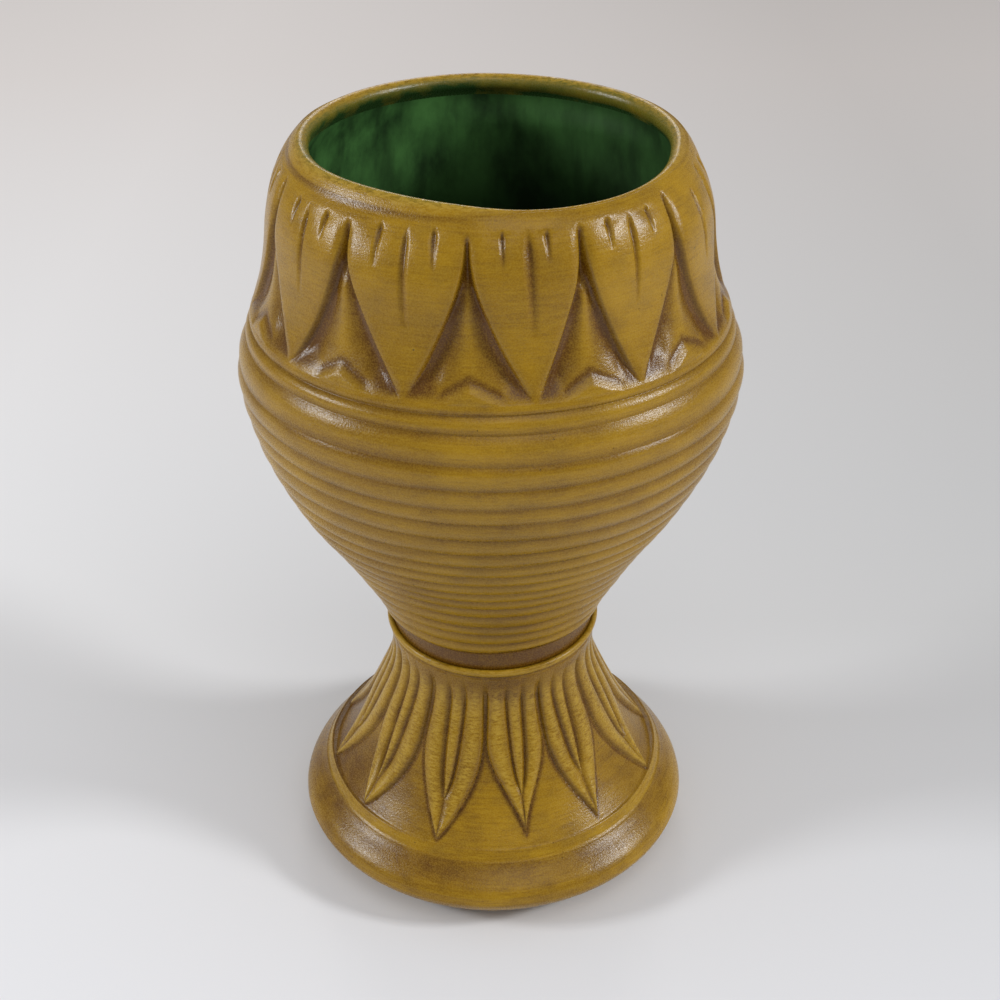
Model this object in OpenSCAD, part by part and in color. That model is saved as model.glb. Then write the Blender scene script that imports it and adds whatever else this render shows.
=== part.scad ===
// Chalice vase: a ribbed bowl with a leaf frieze, seated in the cup of a flared, leafed foot.
// Units are millimetres. The table is z = 0 and the vase turns about the Z axis.

/* [Overall] */
// Height from the table to the crest of the lip
vase_h = 232; // [205:1:280]
// Diameter across the widest part of the bowl
belly_d = 142.6; // [125:0.2:170]
// Height of the widest part above the table
belly_z = 168; // [160:1:176]
// Diameter of the mouth, measured along the crest of the lip
mouth_d = 103; // [80:1:115]

/* [Walls] */
// Wall of the bowl, and thickness of its rounded lip
wall_t = 5.2; // [4.5:0.1:7]
// Thickness of the bowl's floor
floor_t = 5.2; // [4:0.1:8]
// Wall of the hollow foot
foot_wall_t = 5.5; // [4.5:0.1:7]
// Thickness of the glaze that lines the bowl
glaze_t = 0.5; // [0.3:0.1:0.8]

/* [Foot] */
// Height of the foot, from the table to the top of its collar
foot_h = 79.5; // [76:0.5:84]
// Diameter of the narrowest part of the neck
neck_d = 63; // [60:0.5:72]
// Height of the narrowest part of the neck
neck_z = 68; // [66:0.5:70]
// Diameter of the thin ring at the edge of the leafed cone
shelf_d = 108.6; // [100:0.2:114]
// Height of that ring
shelf_z = 24.6; // [23:0.2:27]
// Radius of that ring's own round
shelf_bead_r = 1.1; // [0.8:0.1:1.4]
// Diameter of the base at its widest
base_d = 125; // [120:0.5:140]
// Height of the base's widest part
base_z = 12; // [10:0.5:14]
// Outer diameter of the flat ring that the vase rests on
rest_d = 99; // [92:0.5:104]

/* [Collar and seat] */
// How far the collar flares out above the neck, on the radius
collar_flare = 1.5; // [0.5:0.1:3]
// Plain band under the collar's edge, above the foot's leaves
collar_band = 3.5; // [2.5:0.1:6]
// How deep the bowl sits in the foot's cup
seat_depth = 6.5; // [5:0.1:8]
// Diameter of the bowl's seat where it enters the collar
seat_top_d = 60.4; // [57:0.2:61]
// Diameter of the bowl's seat at its bottom
seat_bottom_d = 52; // [40:0.5:54]
// Thickness of the clay slip that joins the bowl to the foot
slip_t = 0.8; // [0.5:0.1:1.2]
// How far the slip stops below the collar's edge
slip_setback = 1; // [0.5:0.1:2]
// Thickness of the cup's floor in the foot
cup_floor_t = 5; // [4:0.1:6]

/* [Ribs] */
// Depth of the grooves between the bowl's ribs
rib_relief = 0.8; // [0.4:0.1:1.2]
// Plain hollow between the collar and the lowest rib
cove_h = 5.2; // [4:0.1:8]
// Plain band between the frieze and the highest rib
band_h = 3.4; // [2:0.1:6]

/* [Leaves] */
// Number of leaves, on the bowl and on the foot
leaf_count = 12; // [10:1:14]
// Angle of the first leaf from the +X axis
leaf_phase = 10; // [0:1:30]
// Depth of the ground between the bowl's leaves
frieze_relief = 2.2; // [1:0.1:2.6]
// Drop from the crest of the lip to where the bowl's leaves part
shoulder_drop = 8; // [5:0.5:10]
// Length of a bowl leaf, from where the leaves part to the tip
leaf_h = 38.5; // [30:0.5:44]
// Rise of the pointed arch between two leaf tips
arch_h = 5.5; // [3:0.5:8]
// Height of the soft ridge under each arch's point
ridge_h = 1; // [0.5:0.1:1.4]
// Length of the nick at the middle of a bowl leaf
nick_l = 19; // [10:0.5:22]
// Half width of the nicks on the bowl's leaves
nick_half_w = 0.8; // [0.4:0.1:1.2]
// Depth of the nicks on the bowl's leaves
nick_depth = 1; // [0.5:0.1:1.5]
// Depth of the ground between the foot's leaves
foot_relief = 1.5; // [0.8:0.1:2]
// Gap between the tips of the foot's leaves and the thin ring
foot_tip_gap = 2.7; // [2:0.1:5]
// Length of the stretch in which the foot's leaves stand apart
foot_leaf_open_h = 27; // [20:0.5:30]
// Half width of the grooves that split a foot leaf in three
vein_half_w = 0.5; // [0.3:0.1:0.8]

/* [Hidden] */
$fn = 96;

ochre = [0.60, 0.47, 0.15];
ochre_dark = [0.52, 0.40, 0.13];
slip_grey = [0.80, 0.76, 0.68];
green = [0.02, 0.16, 0.06];

belly_r = belly_d / 2;
lip_r = wall_t / 2;
crest_r = mouth_d / 2;
lip_z = vase_h - lip_r;
lip_out_r = crest_r + lip_r;
neck_r = neck_d / 2;
shelf_r = shelf_d / 2;
base_r = base_d / 2;
rest_r = rest_d / 2;
seat_top_r = seat_top_d / 2;
seat_bottom_r = seat_bottom_d / 2;
seat_z = foot_h - seat_depth;
cup_z = seat_z - slip_t;
floor_z = seat_z + floor_t;
rib_low_z = foot_h + cove_h;
frieze_top_z = vase_h - shoulder_drop;
frieze_tip_z = frieze_top_z - leaf_h;
rib_high_z = frieze_tip_z - band_h;
foot_tip_z = shelf_z + foot_tip_gap;
foot_open_z = foot_tip_z + foot_leaf_open_h;
foot_leaf_top_z = foot_h - collar_band;
// Overrun past a surface, for every cut and every sunk end
over = wall_t / 4;
pitch = 360 / leaf_count;
half_pitch = pitch / 2;

// Steps along the curves
outline_steps = 10;
rib_steps = 5;
round_steps = 8;
edge_steps = 6;

// Bowl under its belly: height from the collar to the belly, radius from the seat to the belly
low_shares = [
    [0, 0], [0.06, 0.075], [0.14, 0.15], [0.23, 0.255], [0.32, 0.362], [0.41, 0.484], [0.5, 0.61],
    [0.59, 0.72], [0.68, 0.815], [0.77, 0.895], [0.86, 0.952], [0.93, 0.985], [1, 1]
];
// Bowl over its belly: height from the belly to the lip, radius from the lip to the belly
high_shares = [
    [0, 1], [0.101, 0.927], [0.202, 0.791], [0.322, 0.64], [0.423, 0.517], [0.555, 0.416],
    [0.707, 0.343], [0.808, 0.267], [0.878, 0.186], [0.928, 0.11], [0.964, 0.05], [1, 0]
];
// Grooves between the ribs, from the lowest to the highest
groove_shares = [
    0, 0.041, 0.093, 0.143, 0.204, 0.256, 0.305, 0.35, 0.398, 0.446,
    0.496, 0.552, 0.615, 0.682, 0.737, 0.801, 0.871, 0.945, 1
];
// Foot, over its thin ring: height from the ring to the neck, radius from the neck to the ring
flare_shares = [
    [0, 1], [0.08, 0.865], [0.17, 0.728], [0.26, 0.607], [0.35, 0.5], [0.45, 0.4], [0.55, 0.3],
    [0.65, 0.195], [0.75, 0.098], [0.85, 0.032], [0.93, 0.006], [1, 0]
];
// Base, over its widest part: height up to the ring, radius from the ring to the widest part
hollow_shares = [
    [0, 1], [0.16, 0.96], [0.32, 0.85], [0.44, 0.69], [0.56, 0.47], [0.66, 0.27], [0.76, 0.12],
    [0.86, 0.045], [1, 0]
];
// Base, under its widest part: height from the table, radius from the resting ring
under_shares = [
    [0, 0], [0.05, 0.12], [0.16, 0.32], [0.33, 0.545], [0.5, 0.7], [0.67, 0.835], [0.83, 0.95], [1, 1]
];
// Veins of a foot leaf: height from their meeting point to the leaf's top, angle from the midline
vein_shares = [[0, 0], [0.12, 0.4], [0.3, 0.68], [0.6, 0.9], [1, 1]];
// Where the veins meet, as a share of the leaf's height, and their angle at the top, of the pitch
vein_foot_share = 0.19;
vein_spread_share = 0.167;
// Nicks of a bowl leaf: angle from the midline, of the pitch, and length, of the middle nick's
nick_shares = [[-0.215, 0.38], [0, 1], [0.2, 0.36]];
// Radius of the rounded corner inside the bowl and inside the foot, of the seat's radius
corner_share = 0.33;

function mix(a, b, t) = a + (b - a) * t;
function share(a, b, x) = (x - a) / (b - a);

// Smooth curve through a table of points, for an x inside the table
function slope(t, i) =
    let(a = max(i - 1, 0), b = min(i + 1, len(t) - 1))
    (t[b][1] - t[a][1]) / (t[b][0] - t[a][0]);
function span(t, x, i = 0) = i >= len(t) - 2 || x <= t[i + 1][0] ? i : span(t, x, i + 1);
function curve(t, x) =
    let(
        i = span(t, x),
        h = t[i + 1][0] - t[i][0],
        u = (x - t[i][0]) / h,
        rise = u * u * (3 - 2 * u)
    )
    mix(t[i][1], t[i + 1][1], rise)
        + slope(t, i) * h * u * (1 - u) * (1 - u)
        - slope(t, i + 1) * h * u * u * (1 - u);

// Radius of the bowl over its ribs and leaves, at a height from the collar to the lip
function bowl_r(z) =
    z < belly_z
        ? mix(seat_top_r, belly_r, curve(low_shares, share(foot_h, belly_z, z)))
        : mix(lip_out_r, belly_r, curve(high_shares, share(belly_z, lip_z, z)));

// Radius of the foot over its leaves, at a height from the thin ring to the collar
function leafed_r(z) =
    z < neck_z
        ? mix(neck_r, shelf_r, curve(flare_shares, share(shelf_z, neck_z, z)))
        : neck_r + collar_flare * pow(share(neck_z, foot_h, z), 2);

// Radius of the base, from the table to the thin ring
function base_edge_r(z) =
    z < base_z
        ? mix(rest_r, base_r, curve(under_shares, share(0, base_z, z)))
        : mix(shelf_r, base_r, curve(hollow_shares, share(base_z, shelf_z, z)));

function foot_ground_r(z) = leafed_r(z) - foot_relief;

// Heights at even steps, ends included
function steps(a, b, n) = [for (i = [0:n]) mix(a, b, i / n)];

function groove_z(i) = mix(rib_low_z, rib_high_z, groove_shares[i]);

// One rib bulges between the grooves i and i + 1
function rib(i) = [
    for (k = [0:rib_steps - 1])
        let(z = mix(groove_z(i), groove_z(i + 1), k / rib_steps))
        [bowl_r(z) - rib_relief * (1 - pow(sin(180 * k / rib_steps), 0.6)), z]
];

function bowl_outside() = [
    [0, seat_z],
    [seat_bottom_r, seat_z],
    [seat_top_r, foot_h],
    for (i = [0:len(groove_shares) - 2]) each rib(i),
    [bowl_r(rib_high_z) - rib_relief, rib_high_z],
    for (z = steps(mix(rib_high_z, frieze_tip_z, 0.3), lip_z, outline_steps)) [bowl_r(z), z],
    for (i = [1:round_steps])
        [crest_r + lip_r * cos(180 * i / round_steps), lip_z + lip_r * sin(180 * i / round_steps)]
];

// The bowl's hollow, drawn in on every side by inset
function bowl_hollow(inset) =
    let(
        corner_r = seat_top_r * corner_share,
        wall_r = bowl_r(rib_low_z) - wall_t - inset,
        corner_h = rib_low_z - floor_z - inset
    )
    [
        [0, floor_z + inset],
        for (i = [0:round_steps - 1])
            let(a = 90 * i / round_steps)
            [wall_r - corner_r * (1 - sin(a)), rib_low_z - corner_h * cos(a)],
        for (z = steps(rib_low_z, lip_z, 2 * outline_steps)) [bowl_r(z) - wall_t - inset, z]
    ];

function reversed(p) = [for (i = [len(p) - 1:-1:0]) p[i]];

function ring_bead() = [
    for (i = [0:round_steps])
        let(a = mix(-20, 120, i / round_steps))
        [shelf_r - shelf_bead_r + shelf_bead_r * cos(a), shelf_z + shelf_bead_r * (sin(a) - 1)]
];

function foot_outside() = [
    for (z = steps(0, base_z, outline_steps / 2)) [base_edge_r(z), z],
    for (z = steps(base_z, shelf_z - 1.5 * shelf_bead_r, outline_steps / 2 + 2))
        if (z > base_z) [base_edge_r(z), z],
    each ring_bead(),
    for (z = steps(shelf_z + shelf_bead_r, foot_leaf_top_z, outline_steps)) [foot_ground_r(z), z],
    for (z = steps(foot_leaf_top_z, foot_h, 3)) [leafed_r(z), z]
];

function foot_hollow() =
    let(
        top_z = cup_z - cup_floor_t,
        corner_r = seat_top_r * corner_share,
        corner_z = top_z - cup_floor_t,
        wall_r = foot_ground_r(corner_z) - foot_wall_t
    )
    [
        for (z = steps(0, shelf_z, outline_steps)) [base_edge_r(z) - foot_wall_t, z],
        for (z = steps(shelf_z + shelf_bead_r, corner_z, outline_steps)) [foot_ground_r(z) - foot_wall_t, z],
        for (i = [1:round_steps])
            let(a = 90 * i / round_steps)
            [wall_r - corner_r * (1 - cos(a)), corner_z + cup_floor_t * sin(a)],
        [0, top_z]
    ];

// The cup in the foot that takes the bowl's seat and the slip round it
function cup_outline() =
    let(run = (seat_top_r - seat_bottom_r) / seat_depth)
    [
        [0, cup_z],
        [seat_bottom_r + slip_t, cup_z],
        [seat_bottom_r + slip_t, seat_z],
        [seat_top_r + slip_t, foot_h],
        [seat_top_r + slip_t + run * over, foot_h + over],
        [0, foot_h + over]
    ];

// How much of the half pitch a leaf fills, from its tip (0) to where the leaves part (1)
function leaf_fill(t) = sin(90 * pow(t, 0.9));

// Places round the axis: shift 0 stands on the leaves, shift 0.5 between them
module around(shift) {
    for (i = [0:leaf_count - 1])
        rotate([0, 0, leaf_phase + (i + shift) * pitch]) children();
}

// Stands a drawing of sideways distance and height upright and pushes it out along +X
module outwards(reach) {
    rotate([90, 0, 90]) linear_extrude(reach) children();
}

// The skin of the bowl in the frieze, sunk by depth and open outwards
module frieze_skin(depth, low_z, high_z) {
    zs = steps(low_z, high_z, outline_steps);
    rotate_extrude()
        polygon([
            for (z = zs) [bowl_r(z) - depth, z],
            for (z = reversed(zs)) [belly_r + over, z]
        ]);
}

// Ground between two bowl leaves: leaf edges on both sides, a pointed arch below
module frieze_gap() {
    open = 0.97 * half_pitch;
    side = [
        for (i = [0:edge_steps])
            let(
                t = i / edge_steps,
                z = mix(frieze_tip_z, frieze_top_z, t)
            )
            [bowl_r(z) * sin(open * (1 - leaf_fill(t))), z]
    ];
    arch = [
        for (i = [1:edge_steps - 1])
            let(t = i / edge_steps)
            [side[0][0] * (1 - t), frieze_tip_z + arch_h * t * t]
    ];
    polygon(concat(
        [[0, frieze_tip_z + arch_h]],
        reversed(arch),
        side,
        [for (p = reversed(side)) if (p[0] > 0.01 * side[0][0]) [-p[0], p[1]]],
        [for (p = arch) [-p[0], p[1]]]
    ));
}

// Slim pointed nick, hung from its top
module nick(l) {
    half_w = nick_half_w;
    polygon([[0, 0], [half_w, -l / 4], [half_w / 2, -l / 2], [0, -l], [-half_w / 2, -l / 2], [-half_w, -l / 4]]);
}

module leaf_nicks() {
    for (n = nick_shares)
        translate([bowl_r(frieze_top_z - nick_l / 2) * sin(n[0] * pitch), frieze_top_z])
            nick(nick_l * n[1]);
}

// Soft ridge that runs up the ground from an arch's point
module ground_ridge() {
    foot_z = frieze_tip_z + arch_h / 2;
    head_z = mix(frieze_tip_z, frieze_top_z, 0.72);
    foot_at = bowl_r(foot_z) - frieze_relief;
    head_at = bowl_r(head_z) - frieze_relief;
    run = norm([head_at - foot_at, head_z - foot_z]);
    lean = atan2(foot_at - head_at, head_z - foot_z);
    half_w = 4 * ridge_h;
    translate([foot_at, 0, foot_z])
        rotate([0, -lean, 0])
            linear_extrude(run)
                polygon([[ridge_h, 0], [-ridge_h, 2 * half_w], [-ridge_h, -2 * half_w]]);
}

// One foot leaf with its two veins left out
module foot_leaf() {
    side = concat(
        [
            for (i = [0:edge_steps])
                let(
                    t = i / edge_steps,
                    z = mix(foot_tip_z, foot_open_z, t)
                )
                [(leafed_r(z) * sin(half_pitch) - vein_half_w) * sin(90 * t), z]
        ],
        [
            for (z = steps(foot_open_z, foot_leaf_top_z + over, edge_steps))
                if (z > foot_open_z) [leafed_r(z) * sin(half_pitch) - vein_half_w, z]
        ]
    );
    vein_z = mix(foot_tip_z, foot_leaf_top_z, vein_foot_share);
    vein = [
        for (s = steps(0, 1, edge_steps))
            let(z = mix(vein_z, foot_leaf_top_z + over, s))
            [leafed_r(z) * sin(pitch * vein_spread_share * curve(vein_shares, s)), z]
    ];
    difference() {
        polygon(concat(side, [for (p = reversed(side)) if (p[1] > foot_tip_z) [-p[0], p[1]]]));
        for (m = [0, 1]) mirror([m, 0])
            polygon(concat(
                [for (p = vein) [p[0] + vein_half_w, p[1]]],
                [for (p = reversed(vein)) [p[0] - vein_half_w / 2, p[1]]]
            ));
    }
}

module foot_leaves() {
    zs = steps(foot_tip_z - over / 2, foot_leaf_top_z + over / 2, outline_steps);
    intersection() {
        rotate_extrude()
            polygon([
                for (z = zs) [leafed_r(z), z],
                for (z = reversed(zs)) [foot_ground_r(z) - over, z]
            ]);
        around(0) outwards(belly_r) foot_leaf();
    }
}

module bowl() {
    color(ochre)
        difference() {
            union() {
                difference() {
                    rotate_extrude() polygon(bowl_outside());
                    intersection() {
                        frieze_skin(frieze_relief, frieze_tip_z - over, frieze_top_z + over);
                        around(0.5) outwards(belly_r + over) frieze_gap();
                    }
                    intersection() {
                        frieze_skin(nick_depth, frieze_tip_z, frieze_top_z + over);
                        around(0) outwards(belly_r + over) leaf_nicks();
                    }
                }
                around(0.5) ground_ridge();
            }
            rotate_extrude()
                polygon(concat(bowl_hollow(0), [[lip_out_r - wall_t, vase_h + over], [0, vase_h + over]]));
        }
}

module pedestal_foot() {
    color(ochre_dark)
        difference() {
            union() {
                rotate_extrude() polygon(concat([[0, 0]], foot_outside(), [[0, foot_h]]));
                foot_leaves();
            }
            rotate_extrude() polygon(cup_outline());
            rotate_extrude() polygon(concat([[0, -over], [rest_r - foot_wall_t, -over]], foot_hollow()));
        }
}

module slip_joint() {
    run = (seat_top_r - seat_bottom_r) / seat_depth;
    top_z = foot_h - slip_setback;
    top_r = seat_top_r - run * slip_setback;
    color(slip_grey)
        rotate_extrude()
            polygon([
                [0, cup_z],
                [seat_bottom_r + slip_t, cup_z],
                [seat_bottom_r + slip_t, seat_z],
                [top_r + slip_t, top_z],
                [top_r, top_z],
                [seat_bottom_r, seat_z],
                [0, seat_z]
            ]);
}

module glaze_lining() {
    color(green)
        rotate_extrude()
            polygon(concat(bowl_hollow(0), reversed(bowl_hollow(glaze_t))));
}

bowl();
pedestal_foot();
slip_joint();
glaze_lining();
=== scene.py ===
import math

import bpy
import numpy as np
from mathutils import Matrix, Vector


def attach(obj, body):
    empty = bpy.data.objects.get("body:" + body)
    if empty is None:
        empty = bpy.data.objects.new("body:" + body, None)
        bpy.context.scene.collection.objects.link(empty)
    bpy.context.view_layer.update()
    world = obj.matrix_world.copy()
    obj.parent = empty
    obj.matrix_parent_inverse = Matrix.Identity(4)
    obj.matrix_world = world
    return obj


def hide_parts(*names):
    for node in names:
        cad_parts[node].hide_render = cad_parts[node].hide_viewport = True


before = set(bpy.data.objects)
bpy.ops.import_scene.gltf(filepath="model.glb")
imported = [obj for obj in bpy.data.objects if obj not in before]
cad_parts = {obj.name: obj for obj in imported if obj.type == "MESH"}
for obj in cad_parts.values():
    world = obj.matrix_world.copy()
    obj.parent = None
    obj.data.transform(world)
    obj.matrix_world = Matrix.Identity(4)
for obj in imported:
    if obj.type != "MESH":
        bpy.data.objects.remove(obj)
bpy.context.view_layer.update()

# Lengths are in millimetres up to the point where a mesh is made
MM = 0.001

# The sizes of the part's source. TIP_Z, FRIEZE_RELIEF, GROOVE_SHARES and HOLLOW_SHARES differ from it a
# little, to follow the photograph more closely
BELLY_R = 71.3
BELLY_Z = 168.0
LIP_Z = 229.4
LIP_OUT_R = 54.1
WALL = 5.2
FOOT_WALL = 5.5
GLAZE = 0.5
FOOT_H = 79.5
NECK_R = 31.5
NECK_Z = 68.0
SHELF_R = 54.3
SHELF_Z = 24.6
SHELF_BEAD_R = 1.1
BASE_R = 62.5
BASE_Z = 12.0
REST_R = 49.5
COLLAR_FLARE = 1.5
COLLAR_BAND = 3.5
SEAT_TOP_R = 30.2
SEAT_BOTTOM_R = 26.0
SEAT_Z = 73.0
SLIP = 0.8
CUP_Z = SEAT_Z - SLIP
CUP_FLOOR = 5.0
FLOOR_Z = 78.2
RIB_RELIEF = 0.8
RIB_LOW_Z = 84.7
RIB_HIGH_Z = 182.1
TIP_Z = 184.6
LEAF_TOP_Z = 224.0
ARCH_H = 5.5
FRIEZE_RELIEF = 2.3
FOOT_RELIEF = 1.5
FOOT_OPEN_Z = 54.3
FOOT_LEAF_TOP_Z = FOOT_H - COLLAR_BAND
CORNER_SHARE = 0.33

# Outlines as pairs of shares, of a height and of a step in radius, and the grooves as shares of the ribs'
# height
LOW_SHARES = (
    (0, 0), (0.06, 0.075), (0.14, 0.15), (0.23, 0.255), (0.32, 0.362), (0.41, 0.484), (0.5, 0.61),
    (0.59, 0.72), (0.68, 0.815), (0.77, 0.895), (0.86, 0.952), (0.93, 0.985), (1, 1),
)
HIGH_SHARES = (
    (0, 1), (0.101, 0.927), (0.202, 0.791), (0.322, 0.64), (0.423, 0.517), (0.555, 0.416),
    (0.707, 0.343), (0.808, 0.267), (0.878, 0.186), (0.928, 0.11), (0.964, 0.05), (1, 0),
)
GROOVE_SHARES = (
    0, 0.041, 0.093, 0.143, 0.204, 0.256, 0.305, 0.35, 0.398, 0.446,
    0.496, 0.552, 0.615, 0.682, 0.737, 0.801, 0.874, 0.957, 1,
)
FLARE_SHARES = (
    (0, 1), (0.08, 0.865), (0.17, 0.728), (0.26, 0.607), (0.35, 0.5), (0.45, 0.4), (0.55, 0.3),
    (0.65, 0.195), (0.75, 0.098), (0.85, 0.032), (0.93, 0.006), (1, 0),
)
HOLLOW_SHARES = (
    (0, 1), (0.16, 0.93), (0.32, 0.79), (0.44, 0.64), (0.56, 0.47), (0.66, 0.32), (0.76, 0.195),
    (0.86, 0.1), (1, 0),
)
UNDER_SHARES = (
    (0, 0), (0.05, 0.12), (0.16, 0.32), (0.33, 0.545), (0.5, 0.7), (0.67, 0.835), (0.83, 0.95), (1, 1),
)
VEIN_SHARES = ((0, 0), (0.12, 0.4), (0.3, 0.68), (0.6, 0.9), (1, 1))

# Angles run from the side towards the camera, and grow towards +X. The leaves were cut by hand and stand
# unevenly
BOWL_TIPS = (-144.5, -115.5, -86, -51.1, -19.1, 9.6, 34.4, 64.5, 95, 125.5, 156, 186)
BOWL_GAPS = (-130, -101, -70.2, -38.4, -5.6, 22.3, 52.8, 80, 110, 141, 171, 201)
FOOT_TIPS = (-169, -139, -108.5, -80.5, -51.5, -19.9, 11.6, 39.5, 72.5, 101, 131, 161)
FOOT_TIP_ZS = (27.3, 26.5, 26, 25.6, 26.1, 26.6, 29.0, 27.3, 25.7, 26, 27.2, 26.6)
FOOT_LEAF_POINTS = (1.1, 1.2, 1.1, 1.0, 0.9, 1.0, 1.4, 1.15, 1.1, 1.2, 1.0, 1.2)
FOOT_VEIN_ZS = (36.5, 37.5, 36, 36.5, 33.8, 36.8, 38.8, 39.3, 36.5, 38, 36, 37)
# Nicks of a bowl leaf: angle from its middle, height of the top, length and width
NICKS = ((-6.4, 224.2, 8, 1.0), (0.2, 224.4, 21, 1.0), (6.6, 224.2, 7, 1.0))
FRONT_NICKS = {
    3: ((-4.1, 223.6, 7, 0.9), (1.2, 223.4, 21, 1.0), (8.2, 223.3, 6.5, 0.9)),
    4: ((-6.8, 224.4, 9.8, 0.9), (0.6, 224.9, 23.5, 1.1), (8.0, 224.8, 10, 1.0)),
    5: ((-5.6, 223.2, 8, 0.8), (0.7, 223.4, 23.4, 1.5), (5.3, 222.5, 6.5, 0.9)),
    6: ((-7.1, 223.3, 6.4, 0.8), (-0.2, 223.5, 19.1, 0.9), (6.5, 223.3, 5.9, 0.8)),
    7: ((0.5, 223.0, 18, 0.9),),
}

# The lip is an uneven ring that leans: its middle line's radius by angle, its height, and its rises to
# the left and to the back
LIP_RING = (
    (-180, 54.5), (-150, 52), (-120, 50.2), (-88, 49.9), (-60, 50), (-32, 48.6), (-12, 49.4), (10, 52.6),
    (30, 52.7), (55, 51.3), (80, 49.7), (105, 52), (135, 54.8),
)
LIP_RING_Z = 227.4
LIP_TUBE_R = 2.6
LIP_LEFT_RISE = 1.4
LIP_BACK_RISE = 1.3
SHOULDER_Z = 212.0
THROAT_Z = 216.0
LIP_INNER_ANGLE = 214
# Where the lip is thin, its ring has a smaller tube that lies nearer the axis and higher
THIN_TUBE_STEP = 1.0
THIN_RING_STEP = 1.84
THIN_RISE = 0.39
# The angle round the tube where the shoulder meets it, and the shoulder's lean there
MEET_ANGLE = 42
CREASED_MEET_ANGLE = -16
LEAN_ANGLE = 42
CREASED_LEAN_ANGLE = 50
THIN_ANGLE_STEP = 20
# The bowl is fuller by this much at this height on its left, and its ribs lie a little inside their sizes
LEFT_FULLER = 1.2
LEFT_FULLER_Z = 118
RIB_INSET = 0.05

# The collar's rim sags at the front by this much, and is rounded above this height
RIM_SAG = 1.5
RIM_Z = FOOT_H - 1.0
# The collar has a crease at this height, and swells towards its rim from the second one
COLLAR_CREASE_Z = 76.6
COLLAR_SWELL_Z = 77.0
# The thin ring sinks into the cone at the front and the sides, and stands out at the back
RING_SINK_FRONT = 1.3
RING_SINK_SIDE = 0.95
RING_RISE_BACK = 0.6
# The flare is fuller than its table at this height
FLARE_FULLER = 1.0
FLARE_FULLER_Z = 57.5
# The rows of the base end at this height, and its outline is smoothed into the cone's round the second one
BASE_TOP_Z = SHELF_Z - 1.7
SEAM_Z = 24.2

BOWL_COLUMNS = 1152
FOOT_COLUMNS = 1152
LINING_COLUMNS = 288


def mix(a, b, t):
    return a + (b - a) * t


def share_of(low, high, x):
    """How far x is on the way from low to high, from 0 to 1."""
    return np.clip((x - low) / (high - low), 0, 1)


def ramp(low, high, x):
    """A smooth step from 0 at low to 1 at high."""
    t = share_of(low, high, x)
    return t * t * (3 - 2 * t)


def bump(x, width):
    """A bell that is 1 where x is 0."""
    return np.exp(-(x / width) ** 2)


def dome(x):
    """A quarter round, from 0 where x is 0 to 1 where it is 1."""
    return np.sqrt(1 - (1 - np.clip(x, 0, 1)) ** 2)


def curve(table, x):
    """The smooth curve through a table of points that the part's source draws."""
    xs, ys = np.array(table, float).T
    rise = np.empty(len(xs))
    rise[1:-1] = (ys[2:] - ys[:-2]) / (xs[2:] - xs[:-2])
    rise[0] = (ys[1] - ys[0]) / (xs[1] - xs[0])
    rise[-1] = (ys[-1] - ys[-2]) / (xs[-1] - xs[-2])
    i = np.clip(np.searchsorted(xs, x, side="right") - 1, 0, len(xs) - 2)
    h = xs[i + 1] - xs[i]
    u = (x - xs[i]) / h
    step = (ys[i + 1] - ys[i]) * u * u * (3 - 2 * u)
    return ys[i] + step + rise[i] * h * u * (1 - u) ** 2 - rise[i + 1] * h * u * u * (1 - u)


def bowl_r(z):
    """The bowl's outer radius at a height."""
    z = np.asarray(z, float)
    low = mix(SEAT_TOP_R, BELLY_R, curve(LOW_SHARES, share_of(FOOT_H, BELLY_Z, z)))
    high = mix(LIP_OUT_R, BELLY_R, curve(HIGH_SHARES, share_of(BELLY_Z, LIP_Z, z)))
    return np.where(z < BELLY_Z, low, high)


def leafed_r(z):
    """The outer radius of the foot's leafed cone and collar at a height."""
    z = np.asarray(z, float)
    cone = mix(NECK_R, SHELF_R, curve(FLARE_SHARES, share_of(SHELF_Z, NECK_Z, z)))
    collar = NECK_R + COLLAR_FLARE * share_of(NECK_Z, FOOT_H, z) ** 2
    return np.where(z < NECK_Z, cone, collar)


def base_edge_r(z):
    """The outer radius of the foot's rounded base at a height."""
    z = np.asarray(z, float)
    under = mix(REST_R, BASE_R, curve(UNDER_SHARES, share_of(0, BASE_Z, z)))
    over = mix(SHELF_R, BASE_R, curve(HOLLOW_SHARES, share_of(BASE_Z, SHELF_Z, z)))
    return np.where(z < BASE_Z, under, over)


def around(columns):
    """Angles of the columns, in degrees."""
    return np.arange(columns) * 360 / columns - 180


def waver(angle, terms):
    """A slow wobble round the axis, from a few waves: (waves a turn, height, phase)."""
    total = np.zeros_like(angle)
    for waves, height, phase in terms:
        total = total + height * np.sin(np.radians(waves * angle + phase))
    return total


def place_in_leaf(angle, tips, tops, gap_lows, gap_tops, t):
    """For each angle at height share t: 0 on a leaf's middle to 1 on a gap's, the signed angle from the
    leaf's middle, the angle that a half leaf takes there, and the leaf's number."""
    leaves = mix(np.array(tips, float), np.array(tops, float), t)
    gaps = mix(np.array(gap_lows, float), np.array(gap_tops, float), t)
    knots = np.stack([leaves, gaps], 1).ravel()
    knots = np.concatenate([knots[-2:] - 360, knots, knots[:2] + 360])
    i = np.clip(np.searchsorted(knots, angle, side="right") - 1, 0, len(knots) - 2)
    u = (angle - knots[i]) / (knots[i + 1] - knots[i])
    on_left = i % 2 == 0
    middle = np.where(on_left, knots[i], knots[i + 1])
    number = ((i + 1) // 2 - 1) % len(tips)
    return np.where(on_left, u, 1 - u), angle - middle, knots[i + 1] - knots[i], number


def wrapped(angle, first):
    """The angle brought into the turn that starts at first."""
    return (angle - first) % 360 + first


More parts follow.
